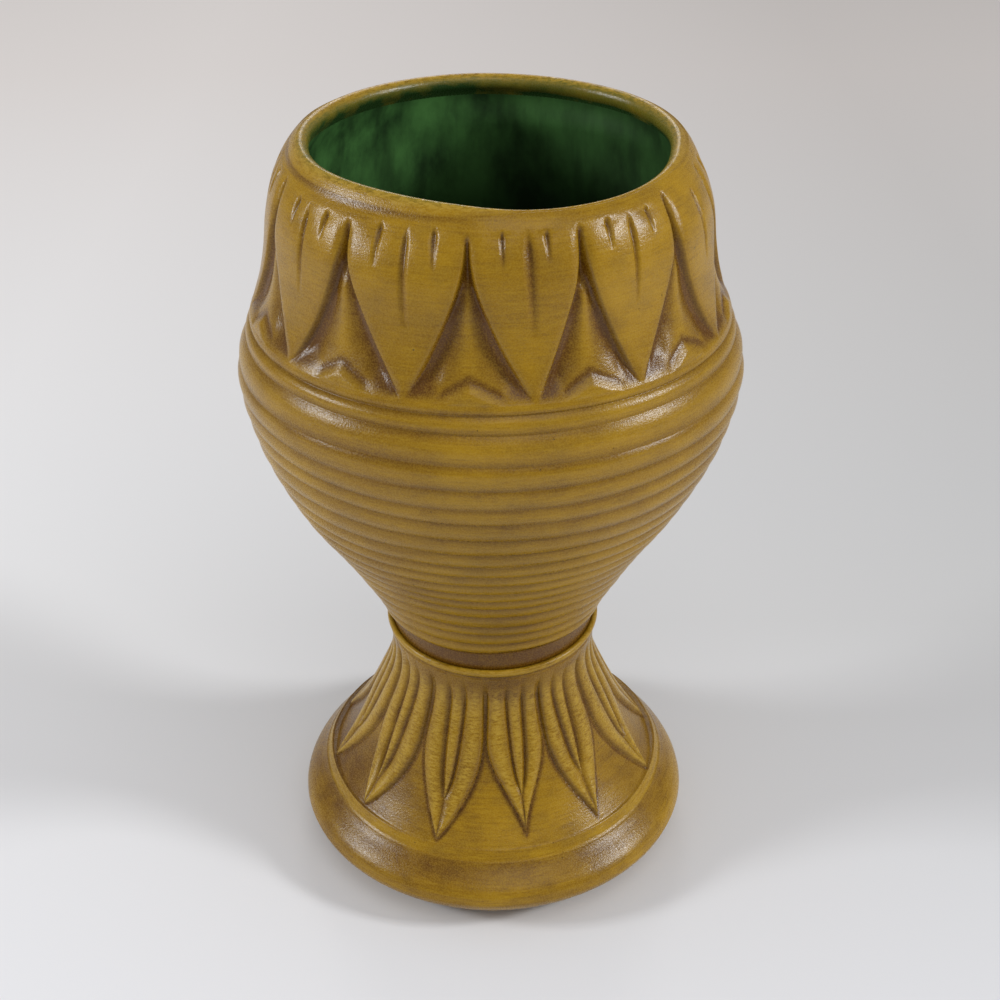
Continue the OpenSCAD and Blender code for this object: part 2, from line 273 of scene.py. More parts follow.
def hermite(a, b, slope_a, slope_b, t):
    """From a to b, leaving and arriving with the given slopes."""
    return ((1 + 2 * t) * a + t * slope_a) * (1 - t) ** 2 + ((3 - 2 * t) * b - (1 - t) * slope_b) * t * t


# The frieze of the bowl

# The power of the height by which a leaf's sides are round
LEAF_POWER = 1.6
# A gap narrower than this is shallow, and no divisor is smaller than the second one
NARROW_GAP = 0.8
LEAST = 0.05
# Where a leaf's wall starts and ends beside its edge
WALL_RUN = (-0.45, 1.1)
# A leaf rolls off towards its edge by this much low down and high up, over this reach
ROLL_LOW = 0.2
ROLL_HIGH = 0.65
ROLL_REACH = 3.0
# A bracket: the reach of its arms from its peak, in degrees, its depth, how far below its line the ground
# starts to sink and over what height, and the bead under it
LEFT_ARM = 8.8
RIGHT_ARM = 10.6
BRACKET_DEPTH = 0.9
CREST_BELOW = 2.3
CREST_H = 2.7
BEAD_RELIEF = 0.2
BEAD_BELOW = 2.9
BEAD_H = 1.5
# Beside the leaf tips a channel follows the leaf's edge: its depth, its width and its distance from the
# edge, and the height over which the ground sinks there
CHANNEL_DEPTH = 0.5
CHANNEL_W = 1.7
BESIDE_EDGE = 0.9
TIP_GROUND_H = 7
# A nick is a notch in a valley, and a gap closes in a cut in a valley
NOTCH_DEPTH = 0.95
VALLEY_DEPTH = 0.4
CUT_DEPTH = 0.75
# The grid's cells over which the ground between the leaves is smoothed
SMOOTHED_CELLS = 7


def frieze(angle, z, r):
    """Push along the surface's normal, recess, edge and softness for one row of the bowl's leaves."""
    t = share_of(TIP_Z, LEAF_TOP_Z, z)
    tips = np.array(BOWL_TIPS)
    gap_tops = np.array(BOWL_GAPS)
    next_tips = np.append(tips[1:], tips[0] + 360)
    last_gaps = np.insert(gap_tops[:-1], 0, gap_tops[-1] - 360)
    turned = wrapped(angle, BOWL_TIPS[0])
    u, off, span, number = place_in_leaf(
        turned, tips, (last_gaps + gap_tops) / 2, (tips + next_tips) / 2, gap_tops, t)
    half = np.radians(span) * r
    filled = 1 - (1 - t) ** LEAF_POWER
    into_gap = (u - filled) * half
    gap_half = np.maximum((1 - filled) * half, LEAST)
    depth = FRIEZE_RELIEF * (1 - np.exp(-gap_half / NARROW_GAP))
    wall = ramp(*WALL_RUN, into_gap)
    across = np.clip(into_gap / gap_half, 0, 1)
    ridge = ramp(0.25, 1, across) * (1 - ramp(0.5, 0.75, t))
    ground = depth * wall * (1 - 0.5 * ridge)
    # A bracket under each gap: a crease over a rounded bead. Beside the leaf tips the ground runs out
    # softly
    from_peak = (1 - np.clip(u, 0, 1)) * np.abs(span)
    arm = np.where(off < 0, RIGHT_ARM, LEFT_ARM)
    arch_z = TIP_Z + ARCH_H * np.clip(1 - np.sqrt(from_peak ** 2 + 0.5) / arm, 0, 1) ** 1.1
    above_arch = (z - arch_z) * 0.93
    corner = ramp(0.55, 0.95, from_peak / arm)
    above_tips = z - TIP_Z
    crest = np.clip((above_arch + CREST_BELOW) / CREST_H, 0, 1) ** 1.15
    arched = crest * mix(BRACKET_DEPTH * wall, ground, ramp(0, 10, above_arch))
    sunk = mix(arched, ground * ramp(-0.3, TIP_GROUND_H, above_tips), corner)
    open_ground = np.clip(sunk / np.maximum(ground, LEAST), 0, 1)
    channel = CHANNEL_DEPTH * bump(into_gap - BESIDE_EDGE, CHANNEL_W) * ramp(-0.5, 2.5, above_tips)
    channel = channel * (1 - open_ground) * ramp(9, 4, above_tips)
    bead = BEAD_RELIEF * bump(above_arch + BEAD_BELOW, BEAD_H) * (1 - corner)
    rolled = mix(ROLL_LOW, ROLL_HIGH, ramp(0.7, 0.95, t))
    rolled = rolled * ramp(-ROLL_REACH, 0.3, into_gap) ** 2 * (1 - 0.6 * wall)
    gap = np.where(off > 0, number, number - 1) % len(tips)
    rise = (z - TIP_Z) / (LEAF_TOP_Z - TIP_Z) + 0.04 * ((gap > 2) & (gap < 6))
    closed = ramp(0.9, 0.99, rise)
    rolled = rolled * ramp(0.02, 0.12, t) * (1 - closed)
    push = -sunk + bead * (t < 0.4) - rolled - channel
    stained = np.maximum(open_ground, corner * ramp(-0.3, 2.5, above_tips))
    deep = np.clip(ground / FRIEZE_RELIEF, 0, 1) * stained
    beside = bump(into_gap - BESIDE_EDGE, 2.5) * np.maximum(open_ground, ramp(-0.3, 2.0, above_tips))
    beside = beside * (1 - closed)
    arch_line = bump(above_arch - 0.6, 1.3) * wall * (1 - 0.9 * corner)
    folds = 1 - 0.85 * ramp(0.66, 0.98, across) * (1 - ramp(0.55, 0.8, t))
    recess = np.clip(0.78 * folds * deep + 0.32 * beside, 0, 1)
    recess = np.maximum(recess, 0.95 * arch_line)
    # Painted highlight and wear: a lighter rim along each leaf's edge, on the bracket's bead and on the
    # ground's ridge
    rim = 0.2 * bump(into_gap + 0.6, 0.45) * (0.05 < t) * (t < 0.93)
    edge = np.clip(rim + bead + 0.3 * ridge * deep, 0, 1)
    # Each gap closes in a cut between two rounded leaf tops
    from_cut = (1 - np.clip(u, 0, 1)) * half
    cut = ramp(0.62, 0.8, rise) * (1 - ramp(0.96, 1.02, rise))
    push = push - cut * (CUT_DEPTH * np.clip(1 - from_cut, 0, 1) + VALLEY_DEPTH * bump(from_cut, 2.2))
    recess = np.maximum(recess, cut * bump(from_cut, 0.75))
    # The nicks hang from the top of each leaf
    for leaf in range(len(tips)):
        for turn, top_z, length, width in FRONT_NICKS.get(leaf, NICKS):
            down = (top_z - z) / length
            if not 0 < down < 1:
                continue
            aside = (off - turn) * np.pi / 180 * r
            along = ramp(0, 0.22, down) * (1 - down) ** 0.6 * (number == leaf)
            thin = width * mix(0.5, 1.0, ramp(0, 0.35, down)) * mix(1.0, 0.75, down)
            notch = np.clip(1 - np.abs(aside) / (1.45 * thin), 0, 1) ** 1.15
            valley = VALLEY_DEPTH * bump(aside, 2.6) * (1 - ramp(0.1, 0.8, down))
            push = push - along * (NOTCH_DEPTH * notch + valley)
            recess = np.maximum(recess, along * bump(aside, 0.8 * thin))
    # Softness is 1 on the ground between the leaves, and 0 on the leaves, on the brackets and in the cuts
    soft = ramp(0.3, 1.4, into_gap) * np.maximum(corner, ramp(7, 11, above_tips)) * ramp(0.62, 0.5, rise)
    return push, recess, edge, soft


def blurred(grid, size):
    """A grid averaged over size rows and size columns, twice, with the columns joined round the axis."""
    half = size // 2
    for _ in range(2):
        padded = np.pad(grid, ((half, half), (0, 0)), mode="edge")
        grid = np.stack([padded[k:len(grid) + k] for k in range(size)]).mean(0)
        grid = np.stack([np.roll(grid, k - half, 1) for k in range(size)]).mean(0)
    return grid


# The seat's edge, the cove that starts below the foot's rim, and how closely the rows stand
SEAT_EDGE = 0.6
SEAT_DROP = 1.3
COVE_DROP = 0.75
COVE_STEP = 0.95
COVE_WAIST = 0.12
SHOULDER_END_Z = 226.6
FRIEZE_ROW_STEP = 0.33
INSIDE_LOW_Z = 90
RIB_ROW_SHARES = (0.05, 0.12, 0.22, 0.34, 0.46, 0.58, 0.7, 0.82, 0.91, 0.97)


def bowl_rows():
    """The bowl's outline from its seat over the lip to its floor: radius, height, kind and a share of the
    kind."""
    rows = [(r, SEAT_Z, "hid", 0) for r in (6, 14, 21, SEAT_BOTTOM_R - SEAT_EDGE)]
    rows += [(SEAT_BOTTOM_R, SEAT_Z + SEAT_EDGE, "hid", 0), (SEAT_TOP_R, FOOT_H - SEAT_DROP, "hid", 0)]
    cove_r = SEAT_TOP_R + COVE_STEP
    for t in np.linspace(0, 1, 13):
        waist = COVE_WAIST * math.sin(math.pi * t)
        r = mix(cove_r, bowl_r(RIB_LOW_Z) - RIB_RELIEF, t ** 0.8) - waist
        rows.append((r, mix(FOOT_H - COVE_DROP, RIB_LOW_Z, t), "cove", t))
    grooves = [mix(RIB_LOW_Z, RIB_HIGH_Z, s) for s in GROOVE_SHARES]
    for low, high in zip(grooves, grooves[1:]):
        for t in RIB_ROW_SHARES:
            z = mix(low, high, t)
            rows.append((bowl_r(z), z, "rib", t))
        rows.append((bowl_r(high), high, "rib", 1.0))
    for z in np.linspace(RIB_HIGH_Z, TIP_Z, 9)[1:]:
        rows.append((bowl_r(z), z, "band", (z - RIB_HIGH_Z) / (TIP_Z - RIB_HIGH_Z)))
    for z in np.arange(TIP_Z + 0.3, SHOULDER_Z - 0.2, FRIEZE_ROW_STEP):
        rows.append((bowl_r(z), z, "frieze", 0))
    # From here the wall turns into the lip's ring, and on into the throat; bowl_grid places these rows
    for t in np.linspace(0, 1, 46):
        z = mix(SHOULDER_Z, SHOULDER_END_Z, t)
        rows.append((bowl_r(z), z, "shoulder", t))
    rows += [(LIP_OUT_R, LIP_RING_Z, "lip", t) for t in np.linspace(0, 1, 24)[1:]]
    rows += [(LIP_OUT_R - WALL, LIP_RING_Z, "inside", t) for t in np.linspace(0, 1, 13)[1:-1]]
    for z in list(np.linspace(THROAT_Z, INSIDE_LOW_Z, 43)) + [RIB_LOW_Z]:
        rows.append((bowl_r(z) - WALL, z, "inside", 0))
    corner_r = SEAT_TOP_R * CORNER_SHARE
    wall_r = bowl_r(RIB_LOW_Z) - WALL
    for a in range(78, -1, -13):
        s = math.radians(a)
        z = RIB_LOW_Z - (RIB_LOW_Z - FLOOR_Z) * math.cos(s)
        rows.append((wall_r - corner_r * (1 - math.sin(s)), z, "inside", 0))
    rows += [(r, FLOOR_Z, "inside", 0) for r in (10, 4)]
    return rows


def thinned(angle):
    """1 where the lip is thin and its outer slope straight, at the front right, and 0 elsewhere."""
    return ramp(-8, 14, angle) * (1 - ramp(52, 80, angle))


def creased(angle):
    """1 where a crease runs under the lip, at the front left, and 0 elsewhere."""
    return ramp(-115, -80, angle) * (1 - ramp(-24, 8, angle))


def spread(rows, place, columns):
    """One number of each row, repeated for all columns."""
    return np.repeat(np.array([row[place] for row in rows], float)[:, None], columns, 1)


def bowl_grid(rows, angle):
    """Radius and height of each row at each angle, with the shoulder led into the leaning ring of the
    lip."""
    radius = spread(rows, 0, len(angle))
    height = spread(rows, 1, len(angle))
    turn = np.radians(angle)
    ring = ((LIP_RING[-1][0] - 360, LIP_RING[-1][1]),) + LIP_RING
    ring += tuple((a + 360, r) for a, r in LIP_RING[:2])
    ring_r = curve(ring, angle)
    ring_z = LIP_RING_Z - LIP_LEFT_RISE * np.sin(turn) - LIP_BACK_RISE * np.cos(turn)
    thin = thinned(angle)
    tube_r = LIP_TUBE_R - THIN_TUBE_STEP * thin
    ring_r = ring_r - THIN_RING_STEP * thin
    ring_z = ring_z + THIN_RISE * thin
    crease = creased(angle)
    meet = mix(MEET_ANGLE, CREASED_MEET_ANGLE, crease) + THIN_ANGLE_STEP * thin
    meet_r = ring_r + tube_r * np.cos(np.radians(meet))
    meet_z = ring_z + tube_r * np.sin(np.radians(meet))
    lean = np.radians(mix(LEAN_ANGLE, CREASED_LEAN_ANGLE, crease) + THIN_ANGLE_STEP * thin)
    start_r = float(bowl_r(SHOULDER_Z))
    slope = float(bowl_r(SHOULDER_Z + 0.5)) - float(bowl_r(SHOULDER_Z - 0.5))
    reach = np.hypot(meet_r - start_r, meet_z - SHOULDER_Z)
    end = math.radians(LIP_INNER_ANGLE)
    end_r = ring_r + tube_r * math.cos(end)
    end_z = ring_z + tube_r * math.sin(end)
    throat_r = float(bowl_r(THROAT_Z)) - WALL
    throat = np.hypot(throat_r - end_r, THROAT_Z - end_z)
    for i, (row_r, row_z, kind, share) in enumerate(rows):
        if kind == "cove":
            height[i] -= RIM_SAG * np.clip(np.cos(turn), 0, 1) * (1 - share)
        if kind == "rib":
            radius[i] += LEFT_FULLER * bump(row_z - LEFT_FULLER_Z, 26) * np.clip(-np.sin(turn), 0, 1) ** 1.5
            radius[i] -= RIB_INSET
        if kind == "shoulder":
            leave = reach * mix(1, 1.1, thin)
            arrive = reach * mix(1, 0.85, thin)
            radius[i] = hermite(start_r, meet_r, slope * leave, -np.sin(lean) * arrive, share)
            height[i] = hermite(SHOULDER_Z, meet_z, leave, np.cos(lean) * arrive, share)
        elif kind == "lip":
            s = mix(meet, LIP_INNER_ANGLE, share)
            # The outer slope is flatter than a round tube
            tube = tube_r * (1 - 0.16 * np.sin(np.pi * np.clip((s - 2) / 94, 0, 1)) ** 2)
            radius[i] = ring_r + tube * np.cos(np.radians(s))
            height[i] = ring_z + tube * np.sin(np.radians(s))
        elif kind == "inside" and share > 0:
            radius[i] = hermite(end_r, throat_r, -math.sin(end) * throat, 0.2 * throat, share)
            height[i] = hermite(end_z, THROAT_Z, math.cos(end) * throat, -throat, share)
    # A soft hollow where the shoulder meets the ring
    kinds = np.array([row[2] for row in rows])
    shares = np.array([row[3] for row in rows])
    near = np.where(kinds == "shoulder", ramp(0.66, 0.86, shares), 0)
    near = near + np.where(kinds == "lip", ramp(0.42, 0.2, shares), 0)
    near = near[:, None] * crease[None, :]
    window = 11
    pads = (window // 2 + 1, window // 2)
    for grid in (radius, height):
        sums = np.cumsum(np.pad(grid, (pads, (0, 0)), mode="edge"), axis=0)
        smooth = (sums[window:] - sums[:-window]) / window
        grid += near * (smooth - grid)
    return radius, height


def normals_of(radius, height):
    """Outward normals of the outlines, from the rows beside each row."""
    dr = np.gradient(radius, axis=0)
    dz = np.gradient(height, axis=0)
    size = np.maximum(np.hypot(dr, dz), 1e-9)
    return dz / size, -dr / size


def placed(name, data):
    """A new object in the scene, for a mesh, a lamp or a camera."""
    thing = bpy.data.objects.new(name, data)
    bpy.context.scene.collection.objects.link(thing)
    return thing


def new_piece(name, radius, height, angle, fields=None, weight=None):
    """A closed piece of revolution from grids of radius and height, rows by columns, with both ends
    capped."""
    rows, columns = radius.shape
    turn = np.radians(angle)[None, :]
    x = radius * np.sin(turn)
    y = -radius * np.cos(turn)
    points = np.stack([x, y, height], 2).reshape(-1, 3)
    ends = [[0, 0, height[0].mean()], [0, 0, height[-1].mean()]]
    points = np.concatenate([points, ends]) * MM
    step = np.arange(columns)
    ahead = (step + 1) % columns
    low = (np.arange(rows - 1) * columns)[:, None]
    corners = [low + step, low + ahead, low + columns + ahead, low + columns + step]
    quads = np.stack(corners, 2).reshape(-1, 4)
    first = rows * columns
    top = (rows - 1) * columns
    caps = np.concatenate([
        np.stack([ahead, step, np.full(columns, first)], 1),
        np.stack([top + step, top + ahead, np.full(columns, first + 1)], 1),
    ])
    mesh = bpy.data.meshes.new(name)
    mesh.from_pydata(points.tolist(), [], quads.tolist() + caps.tolist())
    mesh.polygons.foreach_set("use_smooth", np.ones(len(mesh.polygons), bool))
    # One UV map, round the axis and along the outline, with hidden stretches drawn smaller
    run = np.hypot(np.diff(radius.mean(1)), np.diff(height.mean(1)))
    if weight is not None:
        run = run * weight[1:]
    along = np.concatenate([[0.0], np.cumsum(run)])
    along = 0.01 + 0.98 * along / along[-1]
    u0 = step / columns
    u1 = (step + 1) / columns
    v0 = np.repeat(along[:-1], columns)
    v1 = np.repeat(along[1:], columns)
    left = np.tile(u0, rows - 1)
    right = np.tile(u1, rows - 1)
    quad_uv = np.stack([left, v0, right, v0, right, v1, left, v1], 1).reshape(-1, 2)
    low_uv = np.stack([u1, u1 * 0 + 0.01, u0, u0 * 0 + 0.01, (u0 + u1) / 2, u0 * 0], 1).reshape(-1, 2)
    top_uv = np.stack([u0, u0 * 0 + 0.99, u1, u1 * 0 + 0.99, (u0 + u1) / 2, u0 * 0 + 1], 1).reshape(-1, 2)
    layer = mesh.uv_layers.new(name="OFBake")
    layer.data.foreach_set("uv", np.concatenate([quad_uv, low_uv, top_uv]).ravel().astype(np.float32))
    for key, values in (fields or {}).items():
        data = np.concatenate([values.ravel(), [0, 0]]).astype(np.float32)
        mesh.attributes.new(key, "FLOAT", "POINT").data.foreach_set("value", data)
    return placed(name, mesh)


def groove_waves(groove):
    """The waves by which a groove of the bowl rises and falls."""
    return (2, 0.16, 40 * groove), (3, 0.1, 97 * groove + 20), (7, 0.05, 61 * groove)


def make_bowl():
    angle = around(BOWL_COLUMNS)
    rows = bowl_rows()
    radius, height = bowl_grid(rows, angle)
    nr, nz = normals_of(radius, height)
    recess, edge, wash, soft, pushes, lifts = np.zeros((6,) + radius.shape)
    crease = creased(angle)
    turn = np.radians(angle)
    groove = 0
    for i, (row_r, row_z, kind, share) in enumerate(rows):
        push = 0
        lift = 0
        if kind == "cove":
            recess[i] = 0.9
        elif kind == "rib":
            # A groove's depth and height vary a little round the bowl
            lift = mix(waver(angle, groove_waves(groove)), waver(angle, groove_waves(groove + 1)), share)
            full = math.sin(math.pi * share) ** 0.85
            relief = RIB_RELIEF * (1 + waver(angle, ((1, 0.15, 50 * groove), (4, 0.12, 77 * groove))))
            push = -relief * (1 - full)
            uneven = 0.8 + waver(angle, ((2, 0.2, 31 * groove),))
            recess[i] = 0.48 * bump(min(share, 1 - share), 0.2) * uneven
            # Painted highlight and wear: the rib crests are lighter
            edge[i] = 0.2 * bump(share - 0.5, 0.25)
            if share == 1.0:
                groove += 1
        elif kind == "band":
            full = math.sin(math.pi / 2 * min(share * 1.7, 1)) ** 0.7
            push = -RIB_RELIEF * (1 - full)
            recess[i] = 0.5 * bump(share, 0.3)
        elif kind in ("frieze", "shoulder"):
            push, recess[i], edge[i], soft[i] = frieze(angle, row_z, row_r)
            if kind == "shoulder":
                recess[i] = np.maximum(recess[i], 0.6 * crease * ramp(0.88, 0.98, share))
        elif kind == "lip":
            recess[i] = 0.5 * crease * ramp(0.08, 0, share)
            # Painted highlight and wear: the lip's crest is lighter
            edge[i] = 0.95 * bump(share - 0.36, 0.24)
            back_left = ramp(0.2, 1, np.cos(turn + 2.4))
            wash[i] = mix(0.42 * ramp(0.2, 0.6, share), ramp(0.32, 1.0, share), back_left)
        elif kind == "inside":
            wash[i] = 1.0
        pushes[i] = push
        lifts[i] = lift
    # The cut ground between the leaves is smooth, and the leaves' edges are crisp
    pushes += soft * (blurred(pushes, SMOOTHED_CELLS) - pushes)
    radius += pushes * nr
    height += pushes * nz + lifts
    weight = np.array([0.25 if row[2] in ("hid", "inside") else 1.0 for row in rows])
    fields = {"recess": recess, "edge": edge, "wash": wash}
    return new_piece("bowl_body", radius, height, angle, fields, weight)


# The lining's back lies this deep in the bowl's clay, and its edge thins out over so many rows
LINING_SKIN = 0.02
LINING_EDGE_ROWS = 16


def make_lining():
    angle = around(LINING_COLUMNS)
    rows = bowl_rows()
    inside = [row[2] == "inside" for row in rows]
    radius, height = bowl_grid(rows, angle)
    nr, nz = normals_of(radius, height)
    radius, height, nr, nz = radius[inside], height[inside], nr[inside], nz[inside]
    thick = GLAZE * ramp(0, LINING_EDGE_ROWS, np.arange(len(radius)))[:, None] - LINING_SKIN / 2
    front_r = radius + thick * nr
    front_z = height + thick * nz
    back_r = radius - LINING_SKIN * nr
    back_z = height - LINING_SKIN * nz
    both_r = np.concatenate([back_r[::-1], front_r])
    both_z = np.concatenate([back_z[::-1], front_z])
    return new_piece("lining_glaze", both_r, both_z, angle)


# The foot

# The angle from a leaf's middle to its veins at their top, in degrees
VEIN_ANGLE = 4.6
VEIN_DEPTH = 0.55
VEIN_HALF_W = 1.2
# How far the three ribs of a leaf are rounded, and the reach of its rounded edge
RIB_ROUND_DEPTH = 0.75
LEAF_ROUND = 1.5
# Half the space between two leaves where they stand closest
LEAF_APART = 0.35
# The stain between the leaves is full up to the first height and fades towards the second
LEAF_STAIN_Z = 52
LEAF_STAIN_TOP_Z = 80
# The leaves fade out from the first height, at the front from the second, up to the third
FADE_Z = 68
FRONT_FADE_Z = 64
FADE_END_Z = 74


def foot_leaf_row(angle, z, r):
    """Push, recess and edge for one row of the foot's leaves."""
    tips = np.array(FOOT_TIPS, float)
    next_tips = np.append(tips[1:], tips[0] + 360)
    gaps = (tips + next_tips) / 2
    turned = wrapped(angle, FOOT_TIPS[0])
    u, _, span, number = place_in_leaf(turned, tips, tips, gaps, gaps, 0)
    half = np.radians(span) * r
    from_middle = u * half
    tip_z = np.array(FOOT_TIP_ZS)[number]
    t = share_of(tip_z, FOOT_OPEN_Z, z)
    point = np.array(FOOT_LEAF_POINTS)[number]
    leaf_half = np.where(z > tip_z, (half - LEAF_APART) * np.sin(math.pi / 2 * t ** point), z - tip_z)
    inside = leaf_half - from_middle
    vein_z = np.array(FOOT_VEIN_ZS)[number]
    vein_t = (z - vein_z) / (FOOT_LEAF_TOP_Z - vein_z)
    vein_at = np.radians(VEIN_ANGLE) * r * curve(VEIN_SHARES, np.clip(vein_t, 0, 1))
    from_vein = np.abs(from_middle - vein_at) + np.where(vein_t > 0, 0, -vein_t * 60)
    open_vein = ramp(-0.02, 0.1, vein_t)
    vein = np.clip(1 - from_vein / VEIN_HALF_W, 0, 1) * open_vein
    body = dome(inside / LEAF_ROUND)
    # The outer ribs are round from the leaf's edge to the vein, the middle one between the veins
    outer = np.clip(inside / np.maximum(inside + from_middle - vein_at, 0.4), 0, 1)
    inner = from_middle / np.maximum(vein_at, 0.3)
    swell = np.where(from_middle > vein_at, np.sin(math.pi * outer), np.cos(math.pi / 2 * inner))
    round_rib = 1 - np.clip(swell, 0, 1) ** 0.7
    push = -FOOT_RELIEF * (1 - body) - (VEIN_DEPTH * vein + RIB_ROUND_DEPTH * round_rib) * (inside > 0)
    front = np.clip(np.cos(np.radians(angle)), 0, 1) ** 2
    top = 1 - ramp(mix(FADE_Z, FRONT_FADE_Z, front), FADE_END_Z, z)
    push = push * mix(0.1, 1, top)
    beside = bump(inside + 0.4, 0.9)
    between = 0.55 * (1 - np.clip(swell, 0, 1)) ** 1.1 * (inside > 0)
    recess = np.maximum(np.clip(0.8 * beside + 0.8 * bump(from_vein, 0.8) * open_vein, 0, 1), between)
    recess = recess * mix(0.4, 1, top * ramp(LEAF_STAIN_TOP_Z, LEAF_STAIN_Z, z))
    # Painted highlight and wear: the crests of the leaves' ribs are lighter
    edge = np.clip(swell, 0, 1) ** 2 * (inside > 0.4) * top
    return push, recess, edge


FOOT_ROW_STEP = 0.36


def foot_rows():
    """The foot's outline from the top of its hollow down to the table, up the outside and down into the
    cup: radius, height, kind, and the angle in degrees for the rows of a bead or a rim."""
    top_z = CUP_Z - CUP_FLOOR
    corner_r = SEAT_TOP_R * CORNER_SHARE
    corner_z = top_z - CUP_FLOOR
    wall_r = float(leafed_r(corner_z)) - FOOT_RELIEF - FOOT_WALL
    rows = [(r, top_z, "hollow", 0) for r in (4, 10)]
    for a in range(90, 0, -10):
        s = math.radians(a)
        r = wall_r - corner_r * (1 - math.cos(s))
        rows.append((r, corner_z + CUP_FLOOR * math.sin(s), "hollow", 0))
    for z in np.linspace(corner_z, SHELF_Z + SHELF_BEAD_R, 26):
        rows.append((leafed_r(z) - FOOT_RELIEF - FOOT_WALL, z, "hollow", 0))
    for z in np.linspace(SHELF_Z - 1, 0.4, 22):
        rows.append((base_edge_r(z) - FOOT_WALL, z, "hollow", 0))
    rows += [(REST_R - FOOT_WALL + 0.4, 0.0, "hollow", 0), (REST_R - 0.5, 0.0, "base", 0)]
    for t in np.linspace(0, 1, 19)[1:]:
        z = BASE_Z * t ** 1.4
        rows.append((base_edge_r(z), z, "base", 0))
    for z in np.linspace(BASE_Z, BASE_TOP_Z, 27)[1:]:
        rows.append((base_edge_r(z), z, "base", 0))
    for a in range(-30, 71, 10):
        s = math.radians(a)
        out = SHELF_BEAD_R * math.cos(s)
        rows.append((SHELF_R - SHELF_BEAD_R + out, SHELF_Z + SHELF_BEAD_R * (math.sin(s) - 1), "bead", a))
    for z in np.arange(SHELF_Z + 0.4, FOOT_LEAF_TOP_Z, FOOT_ROW_STEP):
        rows.append((leafed_r(z), z, "leaf", 0))
    for z in np.linspace(FOOT_LEAF_TOP_Z, RIM_Z, 9):
        rows.append((leafed_r(z), z, "collar", 0))
    rim_in = SEAT_TOP_R + SLIP
    rim = (float(leafed_r(RIM_Z)) - rim_in) / 2
    for a in range(15, 181, 15):
        s = math.radians(a)
        rows.append((rim_in + rim + rim * math.cos(s), RIM_Z + 0.98 * math.sin(s), "rim", a))
    run = (SEAT_TOP_R - SEAT_BOTTOM_R) / (FOOT_H - SEAT_Z)
    for z in (77.5, 75.5):
        rows.append((rim_in - run * (RIM_Z - z), z, "hid", 0))
    rows += [(SEAT_BOTTOM_R + SLIP, SEAT_Z, "hid", 0), (SEAT_BOTTOM_R + SLIP, CUP_Z + 0.02, "hid", 0)]
    rows += [(r, CUP_Z, "hid", 0) for r in (24, 12, 4)]
    return rows


# Heights: of the darkening on the cone between the leaf tips, of the stain under the collar and on the
# base, and of the darkening on the base's left
CONE_DARK_Z = 34
NECK_STAIN_RUN = (60, 70)
BASE_STAIN_Z = 20.5
LEFT_DARK_Z = 16
# The collar's sag sets in over these heights
SAG_RUN = (66, 76)


